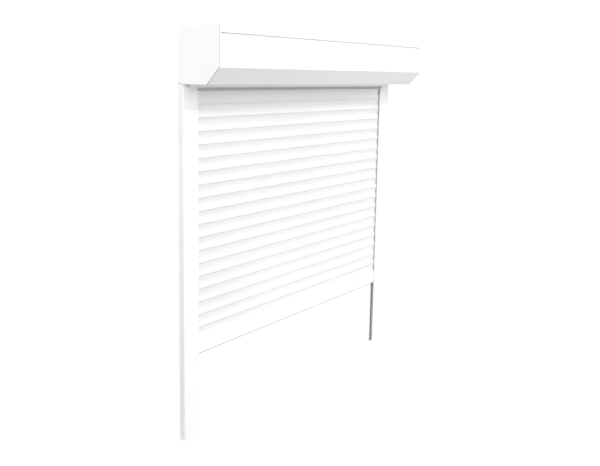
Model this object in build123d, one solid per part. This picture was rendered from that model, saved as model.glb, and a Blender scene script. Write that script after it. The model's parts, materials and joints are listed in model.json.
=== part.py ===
from build123d import *
import os
import math

# Front-mounted roller shutter with a tubular motor in its winding tube.
# Frame: X across (left -, right +), Y depth (room/wall side +, outside front -), Z up.
# Origin: middle of the footprint, on the plane the guide rails stand on.
os.makedirs("parts", exist_ok=True)

# ---------------------------------------------------------------- driving sizes (mm)
WIDTH = 1036.0          # overall, over both rails and end caps
BOX_D = 150.0           # head box depth
BOX_H = 150.0           # head box height
RAIL_L = 1000.0         # guide rail length, below the box
CHAMFER = 43.5          # 45 degree lower front edge of the box
STRIP_H = 18.5          # top profile's front strip, above the cover seam
SHEET = 1.5             # box sheet
CAP_T = 3.0             # end cap plate
RAIL_W = 55.0           # rail face width
RAIL_D = 20.0           # rail depth
RAIL_WALL = 1.6
SLOT_DEEP = 25.0        # guide slot depth, along X
SLOT_W = 11.6           # guide slot width, along Y
PITCH = 37.0            # slat pitch
SLAT_T = 5.0            # slat thickness
SLAT_SAG = 3.9          # how far a slat bows away from the front
SLAT_HALF = 482.0       # half of a slat's length
LAST_JOINT_Z = 317.0    # lowest slat-to-slat joint
BAR_TOP_Z = 284.5
BAR_BOT_Z = 240.5
AXIS_Y = 12.0           # winding axis
AXIS_Z = 1075.0
TUBE_AF = 60.0          # octagon tube, across flats
TUBE_WALL = 1.2
MOTOR_R = 22.5          # tubular motor housing radius
SCREW_Z = (130.0, 836.0)  # rail fixing holes
SCREW_X = 503.0

HW = WIDTH / 2
BACK = BOX_D / 2
TOP = RAIL_L + BOX_H
RAIL_F = BACK - RAIL_D              # rail front plane
SLAT_Y = RAIL_F + 4.9               # front lip of a slat
SLOT_Y0 = RAIL_F + (RAIL_D - SLOT_W) / 2
SLOT_Y1 = SLOT_Y0 + SLOT_W


def block(x0, x1, y0, y1, z0, z1):
    return Pos((x0 + x1) / 2, (y0 + y1) / 2, (z0 + z1) / 2) * Box(
        x1 - x0, y1 - y0, z1 - z0
    )


def prism_x(pts, x0, x1):
    """A closed (y, z) outline, extruded along X."""
    wire = Wire.make_polygon([Vector(x0, y, z) for y, z in pts], close=True)
    return Solid.extrude(Face(wire), Vector(x1 - x0, 0, 0))


def cyl(axis, c, r, length):
    """Cylinder from point c along +axis."""
    turn = {"X": Rot(0, 90, 0), "Y": Rot(-90, 0, 0), "Z": Rot(0, 0, 0)}[axis]
    return Pos(*c) * turn * Cylinder(r, length, align=(Align.CENTER, Align.CENTER, Align.MIN))


def ring_x(x0, x1, ro, ri, y=AXIS_Y, z=AXIS_Z):
    return cyl("X", (x0, y, z), ro, x1 - x0) - cyl("X", (x0 - 1, y, z), ri, x1 - x0 + 2)


def octagon(af, x0, x1):
    r = af / 2 / math.cos(math.pi / 8)
    pts = [
        (
            AXIS_Y + r * math.cos(math.pi / 8 + k * math.pi / 4),
            AXIS_Z + r * math.sin(math.pi / 8 + k * math.pi / 4),
        )
        for k in range(8)
    ]
    return prism_x(pts, x0, x1)


def inset(pts, d):
    """A convex outline (counter-clockwise) moved inwards by d."""
    n = len(pts)
    lines = []
    for i in range(n):
        (x0, y0), (x1, y1) = pts[i], pts[(i + 1) % n]
        ll = math.hypot(x1 - x0, y1 - y0)
        nx, ny = -(y1 - y0) / ll, (x1 - x0) / ll
        lines.append((nx, ny, nx * x0 + ny * y0 + d))
    out = []
    for i in range(n):
        a1, b1, c1 = lines[i - 1]
        a2, b2, c2 = lines[i]
        det = a1 * b2 - a2 * b1
        out.append(((c1 * b2 - c2 * b1) / det, (a1 * c2 - a2 * c1) / det))
    return out


def save(name, *shapes):
    shape = shapes[0] if len(shapes) == 1 else Compound(children=[
        s if isinstance(s, Solid) else s.solids()[0] for s in shapes
    ])
    export_step(shape, "parts/%s.step" % name)


# ---------------------------------------------------------------- head box
outline = [
    (-BACK + CHAMFER, RAIL_L),
    (BACK, RAIL_L),
    (BACK, TOP),
    (-BACK, TOP),
    (-BACK, RAIL_L + CHAMFER),
]
GAP = 0.3
SEAM_GAP = 2.5              # shadow gap above the inspection cover
PROF = HW - CAP_T - 1.2     # half length of the box profiles

top_profile = (
    block(-PROF, PROF, -BACK, BACK, TOP - SHEET, TOP)
    + block(-PROF, PROF, BACK - SHEET, BACK, RAIL_L + 3, TOP)
    + block(-PROF, PROF, -BACK, -BACK + SHEET, TOP - STRIP_H, TOP)
)

seam = TOP - STRIP_H - SEAM_GAP
k = SHEET * math.tan(math.radians(22.5))
cover = prism_x(
    [
        (-BACK, RAIL_L + CHAMFER),
        (-BACK + CHAMFER, RAIL_L),
        (50, RAIL_L),
        (50, RAIL_L + SHEET),
        (-BACK + CHAMFER + k, RAIL_L + SHEET),
        (-BACK + SHEET, RAIL_L + CHAMFER + k),
        (-BACK + SHEET, seam),
        (-BACK, seam),
    ],
    -PROF,
    PROF,
)
# tongue that tucks behind the top profile's strip, and the rear hem with its drip lip
cover = (
    Part() + cover
    + block(-498, 498, -BACK + SHEET + 1.6, -BACK + 2 * SHEET + 1.6, seam - 6, seam + 7)
    + block(-498, 498, -BACK + 1.0, -BACK + 2 * SHEET + 1.0, seam - 6, seam - 2.5)
    + block(-498, 498, 50, 51.5, RAIL_L - 9, RAIL_L + 8)
    + block(-498, 498, 49, 50.5, RAIL_L, RAIL_L + SHEET)
)
COVER_SCREWS = [(sx * 508.0, y) for sx in (-1, 1) for y in (-16.0, 36.0)]
for x, y in COVER_SCREWS:
    cover -= cyl("Z", (x, y, RAIL_L - 1), 2.2, 5)
save("inspection_cover", cover.solids()[0])

# rubber lip that closes the gap between the cover's hem and the curtain
lip = block(-466, 466, 51.5, 53.3, RAIL_L - 16, RAIL_L - 2)
lip += block(-462, 462, 51.5, 54.3, RAIL_L - 3.5, RAIL_L - 2)
save("inlet_lip_seal", lip)

cover_screws = []
for x, y in COVER_SCREWS:
    head = cyl("Z", (x, y, RAIL_L - 0.6), 3.8, 0.6)
    head = fillet(head.edges().group_by(Axis.Z)[0], 0.35)
    slot = block(x - 0.6, x + 0.6, y - 3, y + 3, RAIL_L - 1, RAIL_L - 0.25)
    slot2 = block(x - 3, x + 3, y - 0.6, y + 0.6, RAIL_L - 1, RAIL_L - 0.25)
    cover_screws.append((head - slot - slot2 + cyl("Z", (x, y, RAIL_L - 0.01), 1.7, 9.0)).solids()[0])
save("cover_screws", *cover_screws)

RIVETS = [(sx * 508.0, z) for sx in (-1, 1) for z in (RAIL_L + 30, RAIL_L + 120)]


def end_cap(s):
    """s is -1 on the left and +1 on the right."""
    x_out, x_in = s * HW, s * (HW - CAP_T)
    plate = prism_x(outline, min(x_out, x_in), max(x_out, x_in))
    a, b = sorted((x_in, s * (HW - CAP_T - 12)))
    rim = Part() + prism_x(inset(outline, SHEET + GAP), a, b) - prism_x(
        inset(outline, SHEET + GAP + 2.0), a - 1, b + 1
    )
    cap = Part() + plate + rim
    # screw bosses for the inspection cover
    for x, y in COVER_SCREWS:
        if x * s > 0:
            cap += block(x - 5, x + 5 , y - 6, y + 6, RAIL_L + 2, RAIL_L + 13)
    # shadow groove where the cap meets the rail
    g0, g1 = sorted((s * (HW + 1), s * (HW - 0.9)))
    cap -= block(g0, g1, RAIL_F, BACK + 1, RAIL_L - 1, RAIL_L + 1.0)
    # tongue that plugs into the guide rail's chamber
    t0, t1 = sorted((s * (HW - RAIL_WALL - 0.4), s * (HW - 27.6)))
    cap += block(t0, t1, RAIL_F + RAIL_WALL + 0.5, BACK - RAIL_WALL - 0.5, RAIL_L - 45, RAIL_L + 2)
    for x, y in COVER_SCREWS:
        if x * s > 0:
            cap -= cyl("Z", (x, y, RAIL_L - 1), 1.9, 12)
    for x, z in RIVETS:
        if x * s > 0:
            cap -= cyl("Y", (x, BACK - 6, z), 1.6, 7)
    return cap


# steel brackets, screwed to the end caps
BR = [(AXIS_Y + dy, AXIS_Z + dz) for dy in (-32, 32) for dz in (-32, 32)]
X_IN = HW - CAP_T
motor_bracket = block(X_IN - 3, X_IN, AXIS_Y - 40, AXIS_Y + 40, AXIS_Z - 40, AXIS_Z + 40)
motor_bracket = fillet(motor_bracket.edges().filter_by(Axis.X), 6)
motor_bracket -= block(X_IN - 4, X_IN + 1, AXIS_Y - 8.1, AXIS_Y + 8.1, AXIS_Z - 8.1, AXIS_Z + 8.1)
idler_bracket = block(-X_IN, -X_IN + 3, AXIS_Y - 40, AXIS_Y + 40, AXIS_Z - 40, AXIS_Z + 40)
idler_bracket = fillet(idler_bracket.edges().filter_by(Axis.X), 6)
idler_bracket = idler_bracket + ring_x(-X_IN + 3, -X_IN + 17, 17, 14)
cap_l, cap_r = end_cap(-1), end_cap(1)
screws = []
for y, z in BR:
    motor_bracket -= cyl("X", (X_IN - 4, y, z), 2.7, 5)
    idler_bracket -= cyl("X", (-X_IN - 1, y, z), 2.7, 5)
    cap_r -= cyl("X", (X_IN - 0.5, y, z), 2.5, 2.5)
    cap_l -= cyl("X", (-X_IN - 2.0, y, z), 2.5, 2.5)
    for s in (-1, 1):
        x0 = X_IN - 3 if s > 0 else -X_IN + 3
        head = cyl("X", (x0 - 2.6 if s > 0 else x0, y, z), 4.6, 2.6)
        shank = cyl("X", (x0, y, z), 2.5, 5.0) if s > 0 else cyl("X", (x0 - 5.0, y, z), 2.5, 5.0)
        hexr = cyl("X", (x0 - 3.0 if s > 0 else x0 + 1.2, y, z), 2.0, 1.8)
        screws.append((head + shank - hexr).solids()[0])
save("bracket_screws", *screws)
save("motor_bracket", motor_bracket)
save("idler_bracket", idler_bracket)

# rubber grommet for the motor cable in the right end cap
GY, GZ = 52.0, RAIL_L + 128.0
cap_r -= cyl("X", (X_IN - 1, GY, GZ), 7.0, 6)
grommet = (
    cyl("X", (X_IN, GY, GZ), 7.0, CAP_T)
    + cyl("X", (X_IN - 2.5, GY, GZ), 9.0, 2.5)
    - cyl("X", (X_IN - 4, GY, GZ), 3.6, 10)
)
save("cable_grommet", grommet)
save("end_cap_left", cap_l.solids()[0])
save("end_cap_right", cap_r.solids()[0])

rivets = []
for x, z in RIVETS:
    top_profile -= cyl("Y", (x, BACK - 6, z), 1.6, 8)
    rivets.append(cyl("Y", (x, BACK - 5, z), 1.6, 5).solids()[0])
save("cap_rivets", *rivets)
save("box_top_profile", top_profile.solids()[0])


# ---------------------------------------------------------------- guide rails
def rail(s):
    def bx(xa, xb, y0, y1, z0, z1):
        a, b = sorted((s * xa, s * xb))
        return block(a, b, y0, y1, z0, z1)

    r = bx(HW, HW - RAIL_W, RAIL_F, BACK, 0, RAIL_L)
    r = fillet(r.edges().filter_by(Axis.Z), 0.8)
    r -= bx(HW - RAIL_WALL, HW - RAIL_W + SLOT_DEEP + RAIL_WALL, RAIL_F + RAIL_WALL, BACK - RAIL_WALL, -1, RAIL_L + 1)
    r -= bx(HW - RAIL_W + SLOT_DEEP, HW - RAIL_W - 1, SLOT_Y0, SLOT_Y1, -1, RAIL_L + 1)
    # grooves for the brush seals, just inside the mouth
    r -= bx(HW - RAIL_W + 6, HW - RAIL_W + 2, SLOT_Y0 - 1.6, SLOT_Y1 + 1.6, -1, RAIL_L + 1)
    for z in SCREW_Z:
        r -= cyl("Y", (s * SCREW_X, RAIL_F - 1, z), 5.5, 4)
        r -= cyl("Y", (s * SCREW_X, BACK - 4, z), 3.0, 5)
    seals = []
    for y0, y1 in ((SLOT_Y0 - 1.6, SLAT_Y - 0.35), (SLAT_Y + SLAT_T + SLAT_SAG + 0.35, SLOT_Y1 + 1.6)):
        inner = y0 < (SLOT_Y0 + SLOT_Y1) / 2
        base = bx(HW - RAIL_W + 5.9, HW - RAIL_W + 2.1, y0 if inner else y1 - 1.5, y0 + 1.5 if inner else y1, 1, RAIL_L - 1)
        pile = bx(HW - RAIL_W + 5.0, HW - RAIL_W + 3.0, y0 + 0.5 if inner else y0, y1 if inner else y1 - 0.5, 1, RAIL_L - 1)
        seals.append((base + pile).solids()[0])
    plug = bx(HW - RAIL_WALL - 0.15, HW - RAIL_W + SLOT_DEEP + RAIL_WALL + 0.15, RAIL_F + RAIL_WALL + 0.15, BACK - RAIL_WALL - 0.15, 0, 14)
    return r, seals, plug


plugs, caps, all_seals = [], [], []
for s, side in ((-1, "left"), (1, "right")):
    r, seals, plug = rail(s)
    save("guide_rail_" + side, r.solids()[0])
    all_seals += seals
    plugs.append(plug.solids()[0])
    for z in SCREW_Z:
        c = cyl("Y", (s * SCREW_X, RAIL_F - 0.8, z), 6.6, 0.8)
        c = fillet(c.edges().group_by(Axis.Y)[0], 0.5)
        c = c + cyl("Y", (s * SCREW_X, RAIL_F - 0.01, z), 5.4, 2.6) - cyl("Y", (s * SCREW_X, RAIL_F + 0.4, z), 4.2, 4)
        caps.append(c.solids()[0])
save("brush_seals", *all_seals)
save("rail_foot_plugs", *plugs)
save("rail_screw_caps", *caps)


# ---------------------------------------------------------------- curtain
def slat(z0, h):
    """One slat whose lower joint is at z0 and whose upper joint is at z0 + h."""
    x = -SLAT_HALF

    def p(u, v):
        return Vector(x, SLAT_Y + u, z0 + v)

    def line(*pts):
        return [Edge.make_line(p(*a), p(*b)) for a, b in zip(pts, pts[1:])]

    top, mid = h - 0.4, h / 2
    edges = [Edge.make_three_point_arc(p(0, 0.4), p(SLAT_SAG, mid), p(0, top))]
    edges += line(
        (0, top), (2.9, top), (2.9, h + 2.2), (2.5, h + 2.2), (2.5, h + 4.2),
        (4.6, h + 4.2), (4.6, h + 2.2), (3.9, h + 2.2), (3.9, top), (SLAT_T, top),
    )
    edges.append(Edge.make_three_point_arc(p(SLAT_T, top), p(SLAT_T + SLAT_SAG, mid), p(SLAT_T, 0.4)))
    edges += line(
        (SLAT_T, 0.4), (4.2, 0.4), (4.2, 1.9), (4.9, 1.9), (4.9, 4.6),
        (2.3, 4.6), (2.3, 1.9), (2.6, 1.9), (2.6, 0.4), (0, 0.4),
    )
    body = Solid.extrude(Face(Wire(edges)), Vector(2 * SLAT_HALF, 0, 0))
    # hollow chamber
    v0, v1, w = 7.0, h - 7.0, 0.8
    half = h / 2 - 0.4
    bow = SLAT_SAG * (1 - ((mid - v0) / half) ** 2)
    ch = [
        Edge.make_three_point_arc(p(bow + w, v0), p(SLAT_SAG + w, mid), p(bow + w, v1)),
        Edge.make_line(p(bow + w, v1), p(SLAT_T + bow - w, v1)),
        Edge.make_three_point_arc(p(SLAT_T + bow - w, v1), p(SLAT_T + SLAT_SAG - w, mid), p(SLAT_T + bow - w, v0)),
        Edge.make_line(p(SLAT_T + bow - w, v0), p(bow + w, v0)),
    ]
    hollow = Solid.extrude(Face(Wire(ch)), Vector(2 * SLAT_HALF, 0, 0))
    return (Part() + body - hollow).solids()[0]


N_SLATS = 20
save("slat_01", slat(BAR_TOP_Z, LAST_JOINT_Z - BAR_TOP_Z))
for n in range(2, N_SLATS + 1):
    save("slat_%02d" % n, slat(LAST_JOINT_Z + (n - 2) * PITCH, PITCH))
Z_HID = LAST_JOINT_Z + (N_SLATS - 1) * PITCH
save("slats_in_box", slat(Z_HID, PITCH), slat(Z_HID + PITCH, PITCH))

# bottom bar: flat-faced extrusion, joined to the lowest slat by the same hooked bead
Y0, Y1 = SLAT_Y, SLAT_Y + SLAT_T + SLAT_SAG
bar = block(-470, 470, Y0, Y1, BAR_BOT_Z, BAR_TOP_Z)
bar = fillet(bar.edges().filter_by(Axis.X), 0.6)
bar += prism_x(
    [(SLAT_Y + a, BAR_TOP_Z + b) for a, b in (
        (2.9, -1), (3.9, -1), (3.9, 2.2), (4.6, 2.2), (4.6, 4.2), (2.5, 4.2), (2.5, 2.2), (2.9, 2.2))],
    -470, 470,
)
bar -= block(-471, 471, Y0 + 1.4, Y1 - 1.4, BAR_BOT_Z + 7.5, BAR_TOP_Z - 3.5)
YM = (Y0 + Y1) / 2
bar -= block(-471, 471, YM - 1.5, YM + 1.5, BAR_BOT_Z - 1, BAR_BOT_Z + 3)
bar -= block(-471, 471, YM - 2.7, YM + 2.7, BAR_BOT_Z + 2.0, BAR_BOT_Z + 4.6)
save("bottom_bar", bar.solids()[0])
gasket = (
    block(-469, 469, YM - 1.4, YM + 1.4, BAR_BOT_Z - 1, BAR_BOT_Z + 2.5)
    + block(-469, 469, YM - 2.6, YM + 2.6, BAR_BOT_Z + 2.1, BAR_BOT_Z + 4.5)
    + block(-469, 469, YM - 3.9, YM + 3.9, BAR_BOT_Z - 1.3, BAR_BOT_Z - 0.05)
)
save("bar_gasket", gasket.solids()[0])
guides = []
for s in (-1, 1):
    a, b = sorted((s * 470, s * 483))
    c, d = sorted((s * 455, s * 470.5))
    g = block(a, b, Y0 + 0.3, Y1 - 0.3, BAR_BOT_Z + 1, BAR_TOP_Z - 1)
    g = fillet(g.edges().filter_by(Axis.Y), 2.0)
    guides.append((g + block(c, d, Y0 + 1.6, Y1 - 1.6, BAR_BOT_Z + 8, BAR_TOP_Z - 4)).solids()[0])
save("bar_end_guides", *guides)

# ---------------------------------------------------------------- winding tube
TUBE_X0, TUBE_X1 = -480.0, 468.0
tube = Part() + octagon(TUBE_AF, TUBE_X0, TUBE_X1) - octagon(TUBE_AF - 2 * TUBE_WALL, TUBE_X0 - 1, TUBE_X1 + 1)
save("winding_tube", tube.solids()[0])
inner_af = TUBE_AF - 2 * TUBE_WALL - 0.2
capsule = Part() + octagon(inner_af, TUBE_X0, TUBE_X0 + 60)
capsule += cyl("X", (TUBE_X0 - 4, AXIS_Y, AXIS_Z), 32.2, 4)
capsule -= cyl("X", (TUBE_X0 - 6, AXIS_Y, AXIS_Z), 6.0, 80)
for a in range(4):
    t = math.radians(45 + 90 * a)
    capsule -= cyl("X", (TUBE_X0 + 4, AXIS_Y + 16.5 * math.cos(t), AXIS_Z + 16.5 * math.sin(t)), 6.5, 60)
save("idler_capsule", capsule.solids()[0])
pin = cyl("X", (-X_IN + 5, AXIS_Y, AXIS_Z), 6.0, 90)
pin = chamfer(pin.edges().group_by(Axis.X)[0], 1.0)
save("idler_pin", pin)
save("idler_bush", ring_x(-X_IN + 4, -X_IN + 17, 14, 6.05))

# slats wound on the tube: six on the first turn, two on the second
wound = []
for i in range(8):
    if i < 6:
        r0, a0, span = 33.0, -30 + 60 * i, 58.0
    else:
        r0, a0, span = 38.6, -30 + 52 * (i - 6), 50.6
    def pt(r, deg):
        t = math.radians(deg)
        return Vector(-SLAT_HALF + 6, AXIS_Y + r * math.cos(t), AXIS_Z + r * math.sin(t))
    r1, a1 = r0 + SLAT_T, a0 + span
    am = (a0 + a1) / 2
    w = Wire([
        Edge.make_three_point_arc(pt(r0, a0), pt(r0, am), pt(r0, a1)),
        Edge.make_line(pt(r0, a1), pt(r1, a1)),
        Edge.make_three_point_arc(pt(r1, a1), pt(r1, am), pt(r1, a0)),
        Edge.make_line(pt(r1, a0), pt(r0, a0)),
    ])
    wound.append(Solid.extrude(Face(w), Vector(2 * SLAT_HALF - 30, 0, 0)))
save("rolled_slats", *wound)

straps = []
for x in (-300, 0, 300):
    s = ring_x(x - 15, x + 15, 32.98, 32.6)
    s = s & block(x - 20, x + 20, AXIS_Y, AXIS_Y + 40, AXIS_Z, AXIS_Z + 40)
    straps.append(s.solids()[0])
save("hanger_straps", *straps)

# ---------------------------------------------------------------- tubular motor
HEAD_X0, HEAD_X1 = 476.0, 504.0
head = cyl("X", (HEAD_X0, AXIS_Y, AXIS_Z), 27.5, HEAD_X1 - HEAD_X0)
head = fillet(head.edges().group_by(Axis.X)[-1], 3.0)
head += block(HEAD_X1 - 1, X_IN, AXIS_Y - 8, AXIS_Y + 8, AXIS_Z - 8, AXIS_Z + 8)
head -= cyl("X", (HEAD_X0 - 1, AXIS_Y, AXIS_Z), MOTOR_R, 9)
LIMIT = [("limit_screw_up", AXIS_Y - 9), ("limit_screw_down", AXIS_Y + 9)]
for name, y in LIMIT:
    head -= cyl("Z", (492, y, AXIS_Z - 30), 3.1, 14)
    scr = cyl("Z", (492, y, AXIS_Z - 28.5), 3.04, 12)
    scr = chamfer(scr.edges().group_by(Axis.Z)[0], 0.5)
    hexa = extrude(Pos(492, y, AXIS_Z - 29.5) * RegularPolygon(1.7, 6), 4)
    save(name, (scr - hexa).solids()[0])
# cable inlet on the head
head -= cyl("Z", (492, AXIS_Y, AXIS_Z + 18), 3.6, 12)
save("motor_head", head.solids()[0])

MX0, MX1 = 60.0, HEAD_X0 + 8
save("motor_housing", ring_x(MX0, MX1, MOTOR_R, MOTOR_R - 1.5))
RI = MOTOR_R - 1.6
gearbox = cyl("X", (MX0, AXIS_Y, AXIS_Z), RI, 92) + cyl("X", (MX0 - 4, AXIS_Y, AXIS_Z), MOTOR_R, 4)
gearbox -= cyl("X", (MX0 - 5, AXIS_Y, AXIS_Z), 6.05, 26)
save("gearbox", gearbox.solids()[0])
save("brake", ring_x(156, 186, RI - 0.4, 4.05))
save("stator", ring_x(190, 300, RI, 12.3))
rotor = cyl("X", (195, AXIS_Y, AXIS_Z), 11.9, 100) + cyl("X", (154, AXIS_Y, AXIS_Z), 4.0, 156)
save("rotor", rotor.solids()[0])
save("rotor_bearing", ring_x(303, 309, RI, 4.05))
save("limit_switch_unit", (cyl("X", (320, AXIS_Y, AXIS_Z), RI - 0.6, 78) & block(319, 399, AXIS_Y - 30, AXIS_Y + 30, AXIS_Z - 14, AXIS_Z + 14)).solids()[0])
save("capacitor", cyl("X", (404, AXIS_Y, AXIS_Z), 14.0, 60))

shaft = cyl("X", (24, AXIS_Y, AXIS_Z), 6.0, 56)
shaft = chamfer(shaft.edges().group_by(Axis.X)[0], 0.8)
save("output_shaft", shaft)
wheel = Part() + octagon(inner_af, 28, 52) - cyl("X", (20, AXIS_Y, AXIS_Z), 6.0, 40)
for a in range(4):
    t = math.radians(45 + 90 * a)
    wheel -= cyl("X", (27, AXIS_Y + 17 * math.cos(t), AXIS_Z + 17 * math.sin(t)), 5.5, 30)
save("drive_wheel", wheel.solids()[0])
crown = Part() + octagon(inner_af, TUBE_X1 - 22, TUBE_X1)
crown += cyl("X", (TUBE_X1, AXIS_Y, AXIS_Z), 32.2, 4)
crown -= cyl("X", (TUBE_X1 - 30, AXIS_Y, AXIS_Z), MOTOR_R + 0.08, 50)
save("limit_crown", crown.solids()[0])
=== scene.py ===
import bpy, bmesh, json, math, random
from mathutils import Vector, Matrix

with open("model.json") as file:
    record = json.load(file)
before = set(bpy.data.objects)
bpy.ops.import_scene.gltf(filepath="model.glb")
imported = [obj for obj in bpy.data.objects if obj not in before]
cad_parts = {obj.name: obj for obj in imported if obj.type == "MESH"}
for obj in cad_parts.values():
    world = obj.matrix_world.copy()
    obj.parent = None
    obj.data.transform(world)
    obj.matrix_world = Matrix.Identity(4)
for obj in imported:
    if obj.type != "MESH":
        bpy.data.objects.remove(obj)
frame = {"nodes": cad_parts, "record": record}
random.seed(7)
N = frame["nodes"]
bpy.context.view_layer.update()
scene = bpy.context.scene

# ------------------------------------------------------------------ materials
def new_mat(name):
    m = bpy.data.materials.new(name)
    m.use_nodes = True
    nt = m.node_tree
    nt.nodes.clear()
    out = nt.nodes.new("ShaderNodeOutputMaterial")
    bsdf = nt.nodes.new("ShaderNodeBsdfPrincipled")
    nt.links.new(bsdf.outputs[0], out.inputs[0])
    tc = nt.nodes.new("ShaderNodeTexCoord")
    return m, nt, bsdf, tc


def noise(nt, tc, scale, detail=3.0, rough=0.5, stretch=None, seed=0.0):
    vec = tc.outputs["Object"]
    if stretch or seed:
        mp = nt.nodes.new("ShaderNodeMapping")
        mp.inputs["Scale"].default_value = stretch or (1, 1, 1)
        mp.inputs["Location"].default_value = (seed, seed * 0.37, seed * 0.73)
        nt.links.new(vec, mp.inputs["Vector"])
        vec = mp.outputs[0]
    n = nt.nodes.new("ShaderNodeTexNoise")
    n.inputs["Scale"].default_value = scale
    n.inputs["Detail"].default_value = detail
    n.inputs["Roughness"].default_value = rough
    nt.links.new(vec, n.inputs["Vector"])
    return n.outputs["Fac"]


def ramp(nt, fac, a, b, p0=0.3, p1=0.7):
    r = nt.nodes.new("ShaderNodeValToRGB")
    r.color_ramp.elements[0].position, r.color_ramp.elements[1].position = p0, p1
    r.color_ramp.elements[0].color = (*a, 1) if len(a) == 3 else a
    r.color_ramp.elements[1].color = (*b, 1) if len(b) == 3 else b
    nt.links.new(fac, r.inputs[0])
    return r.outputs[0]


def rng(nt, fac, a, b):
    r = nt.nodes.new("ShaderNodeMapRange")
    r.inputs["From Min"].default_value, r.inputs["From Max"].default_value = 0.25, 0.75
    r.inputs["To Min"].default_value, r.inputs["To Max"].default_value = a, b
    nt.links.new(fac, r.inputs["Value"])
    return r.outputs[0]


def bump(nt, bsdf, *layers):
    """layers: (height socket, strength, distance in metres), chained."""
    prev = None
    for h, strength, dist in layers:
        b = nt.nodes.new("ShaderNodeBump")
        b.inputs["Strength"].default_value = strength
        b.inputs["Distance"].default_value = dist
        nt.links.new(h, b.inputs["Height"])
        if prev is not None:
            nt.links.new(prev, b.inputs["Normal"])
        prev = b.outputs[0]
    nt.links.new(prev, bsdf.inputs["Normal"])


def coat(name, col, rough=(0.34, 0.46), peel=700.0, depth=0.00004, var=0.012, spec=0.5, seed=0.0):
    """Powder coat or painted finish: faint tone drift, orange-peel and a satin gloss."""
    m, nt, b, tc = new_mat(name)
    drift = noise(nt, tc, 3.5, 2, seed=seed)
    a = tuple(max(0, c - var) for c in col)
    z = tuple(min(1, c + var) for c in col)
    nt.links.new(ramp(nt, drift, a, z), b.inputs["Base Color"])
    nt.links.new(rng(nt, noise(nt, tc, 45, 4, seed=seed + 1), *rough), b.inputs["Roughness"])
    b.inputs["Specular IOR Level"].default_value = spec
    bump(nt, b, (noise(nt, tc, peel, 2, 0.5), 0.25, depth))
    return m


def plastic(name, col, rough=(0.4, 0.55), grain=1400.0, depth=0.00003, var=0.02, seed=0.0):
    m, nt, b, tc = new_mat(name)
    a = tuple(max(0, c * (1 - var)) for c in col)
    z = tuple(min(1, c * (1 + var)) for c in col)
    nt.links.new(ramp(nt, noise(nt, tc, 12, 3, seed=seed), a, z), b.inputs["Base Color"])
    nt.links.new(rng(nt, noise(nt, tc, 80, 3, seed=seed + 2), *rough), b.inputs["Roughness"])
    bump(nt, b, (noise(nt, tc, grain, 2), 0.35, depth))
    return m


def metal(name, col, rough=(0.25, 0.42), stretch=(1, 30, 30), scale=60, var=0.1, aniso=0.3, spangle=False):
    m, nt, b, tc = new_mat(name)
    b.inputs["Metallic"].default_value = 1.0
    a = tuple(max(0, c * (1 - var)) for c in col)
    z = tuple(min(1, c * (1 + var)) for c in col)
    if spangle:
        v = nt.nodes.new("ShaderNodeTexVoronoi")
        v.inputs["Scale"].default_value = 130
        nt.links.new(tc.outputs["Object"], v.inputs["Vector"])
        sep = nt.nodes.new("ShaderNodeSeparateColor")
        nt.links.new(v.outputs["Color"], sep.inputs[0])
        fac = sep.outputs[0]
    else:
        fac = noise(nt, tc, scale, 4, 0.6, stretch)
    nt.links.new(ramp(nt, fac, a, z, 0.1, 0.9), b.inputs["Base Color"])
    nt.links.new(rng(nt, noise(nt, tc, scale, 4, 0.6, stretch), *rough), b.inputs["Roughness"])
    b.inputs["Anisotropic"].default_value = aniso
    bump(nt, b, (noise(nt, tc, scale * 8, 2, 0.5, stretch), 0.2, 0.00002))
    return m


def paint_seam_shade_on_cut_ends(m, at, col):
    """Painted seam shade on the sawn end-face of a coated sheet, |x| beyond `at`, in metres: the bare cut edge is
    real, but its near-black colour stands in for the shadow in the seam at the end cap.
    """
    nt = m.node_tree
    b = [n for n in nt.nodes if n.type == "BSDF_PRINCIPLED"][0]
    tc = [n for n in nt.nodes if n.type == "TEX_COORD"][0]
    sp = nt.nodes.new("ShaderNodeSeparateXYZ")
    nt.links.new(tc.outputs["Object"], sp.inputs[0])
    ab = nt.nodes.new("ShaderNodeMath")
    ab.operation = "ABSOLUTE"
    nt.links.new(sp.outputs[0], ab.inputs[0])
    gt = nt.nodes.new("ShaderNodeMath")
    gt.operation = "GREATER_THAN"
    gt.inputs[1].default_value = at
    nt.links.new(ab.outputs[0], gt.inputs[0])
    mix = nt.nodes.new("ShaderNodeMix")
    mix.data_type = "RGBA"
    src = b.inputs["Base Color"].links[0].from_socket
    nt.links.new(gt.outputs[0], mix.inputs["Factor"])
    nt.links.new(src, mix.inputs[6])
    mix.inputs[7].default_value = (*col, 1)
    nt.links.new(mix.outputs[2], b.inputs["Base Color"])
    return m


def paint_contact_shade_at_cap_foot(m, z_top, y_from, col):
    """Painted contact shade at a cap's foot: near-black colour where z is below z_top and y beyond y_from, in
    metres, standing in for the shadow where the cap meets the rail.
    """
    nt = m.node_tree
    b = [n for n in nt.nodes if n.type == "BSDF_PRINCIPLED"][0]
    tc = [n for n in nt.nodes if n.type == "TEX_COORD"][0]
    sp = nt.nodes.new("ShaderNodeSeparateXYZ")
    nt.links.new(tc.outputs["Object"], sp.inputs[0])
    masks = []
    for sock, op, val in ((2, "LESS_THAN", z_top), (1, "GREATER_THAN", y_from)):
        q = nt.nodes.new("ShaderNodeMath")
        q.operation = op
        q.inputs[1].default_value = val
        nt.links.new(sp.outputs[sock], q.inputs[0])
        masks.append(q.outputs[0])
    both = nt.nodes.new("ShaderNodeMath")
    both.operation = "MULTIPLY"
    nt.links.new(masks[0], both.inputs[0])
    nt.links.new(masks[1], both.inputs[1])
    mix = nt.nodes.new("ShaderNodeMix")
    mix.data_type = "RGBA"
    src = b.inputs["Base Color"].links[0].from_socket
    nt.links.new(both.outputs[0], mix.inputs["Factor"])
    nt.links.new(src, mix.inputs[6])
    mix.inputs[7].default_value = (*col, 1)
    nt.links.new(mix.outputs[2], b.inputs["Base Color"])
    return m


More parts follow.
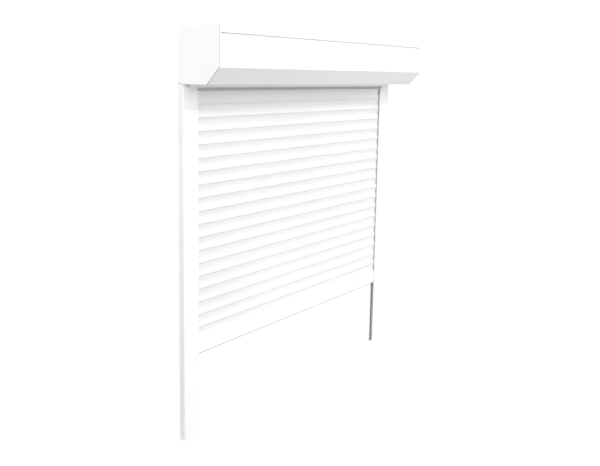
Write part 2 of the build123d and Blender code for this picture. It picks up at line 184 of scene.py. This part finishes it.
WHITE = (0.905, 0.905, 0.9)
M = {}
M["white_powder_coat"] = coat("white_powder_coat", WHITE)
# painted shade: the cover's sawn ends are near-black so the seam at each end cap reads as shadow
M["box_coat"] = paint_seam_shade_on_cut_ends(coat("box_coat", WHITE), 0.5136, (0.16, 0.16, 0.165))
M["white_cap_coat"] = coat("white_cap_coat", (0.93, 0.93, 0.925), (0.4, 0.52), 950, 0.00005, seed=3.0)
# painted shade: the caps' foot is darkened near-black for the contact shadow on the rail top
paint_contact_shade_at_cap_foot(M["white_cap_coat"], 1.0013, 0.0545, (0.2, 0.2, 0.205))
M["white_slat"] = coat("white_slat", (0.83, 0.83, 0.826), (0.32, 0.44), 420, 0.00003, 0.01, seed=5.0)
M["white_plastic"] = plastic("white_plastic", (0.88, 0.88, 0.87), seed=1.0)
M["black_rubber"] = plastic("black_rubber", (0.028, 0.028, 0.03), (0.6, 0.8), 900, 0.00008, 0.2, seed=2.0)
M["grey_rubber"] = plastic("grey_rubber", (0.47, 0.47, 0.475), (0.6, 0.8), 700, 0.00008, 0.12, seed=8.0)
M["grey_plastic"] = plastic("grey_plastic", (0.16, 0.165, 0.17), (0.4, 0.6), seed=4.0, var=0.06)
M["black_plastic"] = plastic("black_plastic", (0.02, 0.02, 0.022), (0.35, 0.55), seed=6.0, var=0.15)
M["limit_screw_plastic"] = plastic("limit_screw_plastic", (0.7, 0.42, 0.03), (0.35, 0.5), seed=7.0, var=0.06)
M["galvanised_steel"] = metal("galvanised_steel", (0.56, 0.58, 0.6), (0.3, 0.5), spangle=True, var=0.12, aniso=0.0)
M["spring_steel"] = metal("spring_steel", (0.18, 0.2, 0.26), (0.25, 0.4))
M["zinc_screw"] = metal("zinc_screw", (0.62, 0.62, 0.58), (0.22, 0.4), (1, 1, 1), 300)
M["bright_steel"] = metal("bright_steel", (0.65, 0.65, 0.66), (0.15, 0.3), (40, 1, 1), 60)
M["motor_tube_steel"] = metal("motor_tube_steel", (0.38, 0.4, 0.42), (0.25, 0.42), (40, 2, 2), 40)
M["brake_iron"] = metal("brake_iron", (0.09, 0.09, 0.095), (0.5, 0.7), (1, 1, 1), 200)
M["stator_copper"] = metal("stator_copper", (0.62, 0.27, 0.12), (0.2, 0.35), (1, 40, 40), 90, 0.25)
M["capacitor_can"] = metal("capacitor_can", (0.7, 0.7, 0.72), (0.3, 0.45), (1, 30, 30), 60)


def brush_mat():
    m, nt, b, tc = new_mat("black_brush")
    f = noise(nt, tc, 900, 2, 0.6, (1, 1, 0.35))
    nt.links.new(ramp(nt, f, (0.03, 0.03, 0.032), (0.13, 0.13, 0.135)), b.inputs["Base Color"])
    b.inputs["Roughness"].default_value = 0.9
    b.inputs["Sheen Weight"].default_value = 0.3
    bump(nt, b, (f, 0.9, 0.0004))
    return m


M["black_brush"] = brush_mat()

slot_of = {s["node"]: s["material_slot"] for s in frame["record"]["subparts"]}
ROUND = {"box_top_profile": 0.4, "inspection_cover": 0.4, "end_cap_left": 0.5, "end_cap_right": 0.5,
         "bottom_bar": 0.3, "motor_bracket": 0.3, "idler_bracket": 0.3, "motor_head": 0.4,
         "guide_rail_left": 0.25, "guide_rail_right": 0.25, "drive_wheel": 0.4, "idler_capsule": 0.5,
         "limit_crown": 0.4, "bar_gasket": 0.4, "cable_grommet": 0.4}
for name, ob in N.items():
    mat = M[slot_of[name]]
    if name in ("inspection_cover", "box_top_profile"):
        mat = M["box_coat"]
    if not ob.data.materials:
        ob.data.materials.append(mat)
    for i in range(len(ob.data.materials)):
        ob.data.materials[i] = mat
    if name in ROUND:
        w = ob.modifiers.new("weld", "WELD")
        w.merge_threshold = 1e-6
        bv = ob.modifiers.new("edge", "BEVEL")
        bv.width = ROUND[name] / 1000
        bv.segments = 2
        bv.limit_method = "ANGLE"
        bv.angle_limit = math.radians(35)
        bv.use_clamp_overlap = True

# ------------------------------------------------------------------ stage and light
def floor():
    me = bpy.data.meshes.new("floor")
    s = 40.0
    me.from_pydata([(-s, -s, 0), (s, -s, 0), (s, s, 0), (-s, s, 0)], [], [(0, 1, 2, 3)])
    o = bpy.data.objects.new("floor", me)
    scene.collection.objects.link(o)
    m, nt, b, tc = new_mat("stage_floor")
    nt.nodes.remove(b)
    # the stage only: plain white to the eye, a mild bounce to the object
    em = nt.nodes.new("ShaderNodeEmission")
    em.inputs["Color"].default_value = (1, 1, 1, 1)
    em.inputs["Strength"].default_value = 1.02
    dim = nt.nodes.new("ShaderNodeBsdfDiffuse")
    # a greyer patch of floor out to the left of the box
    sp = nt.nodes.new("ShaderNodeSeparateXYZ")
    nt.links.new(tc.outputs["Object"], sp.inputs[0])
    shade = nt.nodes.new("ShaderNodeValToRGB")
    el = shade.color_ramp.elements
    el[0].position, el[0].color = 0.0, (0.7, 0.7, 0.7, 1)
    el[1].position, el[1].color = 1.0, (0.8, 0.8, 0.8, 1)
    for at, g in ((0.38, 0.7), (0.5, 0.34), (0.68, 0.34), (0.76, 0.86)):
        e = el.new(at)
        e.color = (g, g, g, 1)
    mr = nt.nodes.new("ShaderNodeMapRange")
    mr.inputs["From Min"].default_value, mr.inputs["From Max"].default_value = -4.0, 1.0
    nt.links.new(sp.outputs[0], mr.inputs["Value"])
    nt.links.new(mr.outputs[0], shade.inputs[0])
    nt.links.new(shade.outputs[0], dim.inputs["Color"])
    path = nt.nodes.new("ShaderNodeLightPath")
    mixs = nt.nodes.new("ShaderNodeMixShader")
    out = [n for n in nt.nodes if n.type == "OUTPUT_MATERIAL"][0]
    nt.links.new(path.outputs["Is Camera Ray"], mixs.inputs[0])
    nt.links.new(dim.outputs[0], mixs.inputs[1])
    nt.links.new(em.outputs[0], mixs.inputs[2])
    # seen from underneath, the floor isn't there
    geo = nt.nodes.new("ShaderNodeNewGeometry")
    clear = nt.nodes.new("ShaderNodeBsdfTransparent")
    under = nt.nodes.new("ShaderNodeMixShader")
    nt.links.new(geo.outputs["Backfacing"], under.inputs[0])
    nt.links.new(mixs.outputs[0], under.inputs[1])
    nt.links.new(clear.outputs[0], under.inputs[2])
    nt.links.new(under.outputs[0], out.inputs[0])
    me.materials.append(m)


floor()
world = bpy.data.worlds.new("studio")
scene.world = world
world.use_nodes = True
wn = world.node_tree
wn.nodes.clear()
wo = wn.nodes.new("ShaderNodeOutputWorld")
bg = wn.nodes.new("ShaderNodeBackground")
bg.inputs[0].default_value = (1, 1, 1, 1)
# a studio that is brighter round the sides than overhead
wtc = wn.nodes.new("ShaderNodeTexCoord")
wsp = wn.nodes.new("ShaderNodeSeparateXYZ")
wn.links.new(wtc.outputs["Generated"], wsp.inputs[0])
wr = wn.nodes.new("ShaderNodeValToRGB")
we = wr.color_ramp.elements
we[0].position, we[0].color = 0.0, (0.86, 0.86, 0.86, 1)
we[1].position, we[1].color = 1.0, (0.1, 0.1, 0.1, 1)
for at, g in ((0.35, 0.65), (0.6, 0.22)):
    e = we.new(at)
    e.color = (g, g, g, 1)
wn.links.new(wsp.outputs[2], wr.inputs[0])
wn.links.new(wr.outputs[0], bg.inputs[0])
bg.inputs[1].default_value = 1.93
bgc = wn.nodes.new("ShaderNodeBackground")
bgc.inputs[0].default_value = (1, 1, 1, 1)
bgc.inputs[1].default_value = 1.02
lp = wn.nodes.new("ShaderNodeLightPath")
mx = wn.nodes.new("ShaderNodeMixShader")
wn.links.new(lp.outputs["Is Camera Ray"], mx.inputs[0])
wn.links.new(bg.outputs[0], mx.inputs[1])
wn.links.new(bgc.outputs[0], mx.inputs[2])
wn.links.new(mx.outputs[0], wo.inputs[0])


def sun(name, way, energy, angle):
    """way: the direction the light travels."""
    l = bpy.data.lights.new(name, "SUN")
    l.energy = energy
    l.angle = math.radians(angle)
    o = bpy.data.objects.new(name, l)
    scene.collection.objects.link(o)
    o.rotation_mode = "QUATERNION"
    o.rotation_quaternion = Vector(way).to_track_quat("-Z", "Y")


sun("key", (0.04, 0.77, -0.63), 0.5, 3.5)
sun("soft", (0.3, 0.72, -0.62), 1.05, 52)


def area(name, loc, target, size, energy):
    l = bpy.data.lights.new(name, "AREA")
    l.shape = "RECTANGLE"
    l.size, l.size_y = size
    l.energy = energy
    o = bpy.data.objects.new(name, l)
    scene.collection.objects.link(o)
    o.location = loc
    o.rotation_mode = "QUATERNION"
    o.rotation_quaternion = (Vector(target) - Vector(loc)).to_track_quat("-Z", "Y")
    return o


area("fill_left", (-2.6, 0.2, 2.3), (-0.4, 0, 1.1), (1.4, 1.4), 11.5)

# ------------------------------------------------------------------ camera
cam_d = bpy.data.cameras.new("camera")
cam = bpy.data.objects.new("camera", cam_d)
scene.collection.objects.link(cam)
yaw, pitch, roll, f_px, cx, cy = 0.8771, 0.1309, 0.0135, 690.52, 280.33, 166.43
fwd = Vector((math.sin(yaw) * math.cos(pitch), math.cos(yaw) * math.cos(pitch), -math.sin(pitch)))
right = fwd.cross(Vector((0, 0, 1))).normalized()
up = right.cross(fwd)
r2 = math.cos(roll) * right + math.sin(roll) * up
u2 = -math.sin(roll) * right + math.cos(roll) * up
cam.matrix_world = Matrix.Translation((-1.75766, -1.31241, 1.02592)) @ Matrix((r2, u2, -fwd)).transposed().to_4x4()
cam_d.sensor_width = 36.0
cam_d.lens = f_px / 600 * 36
cam_d.shift_x = (300 - cx) / 600
cam_d.shift_y = (cy - 233) / 600
cam_d.clip_start, cam_d.clip_end = 0.02, 200
scene.camera = cam
scene.view_settings.view_transform = "Standard"
scene.view_settings.look = "None"
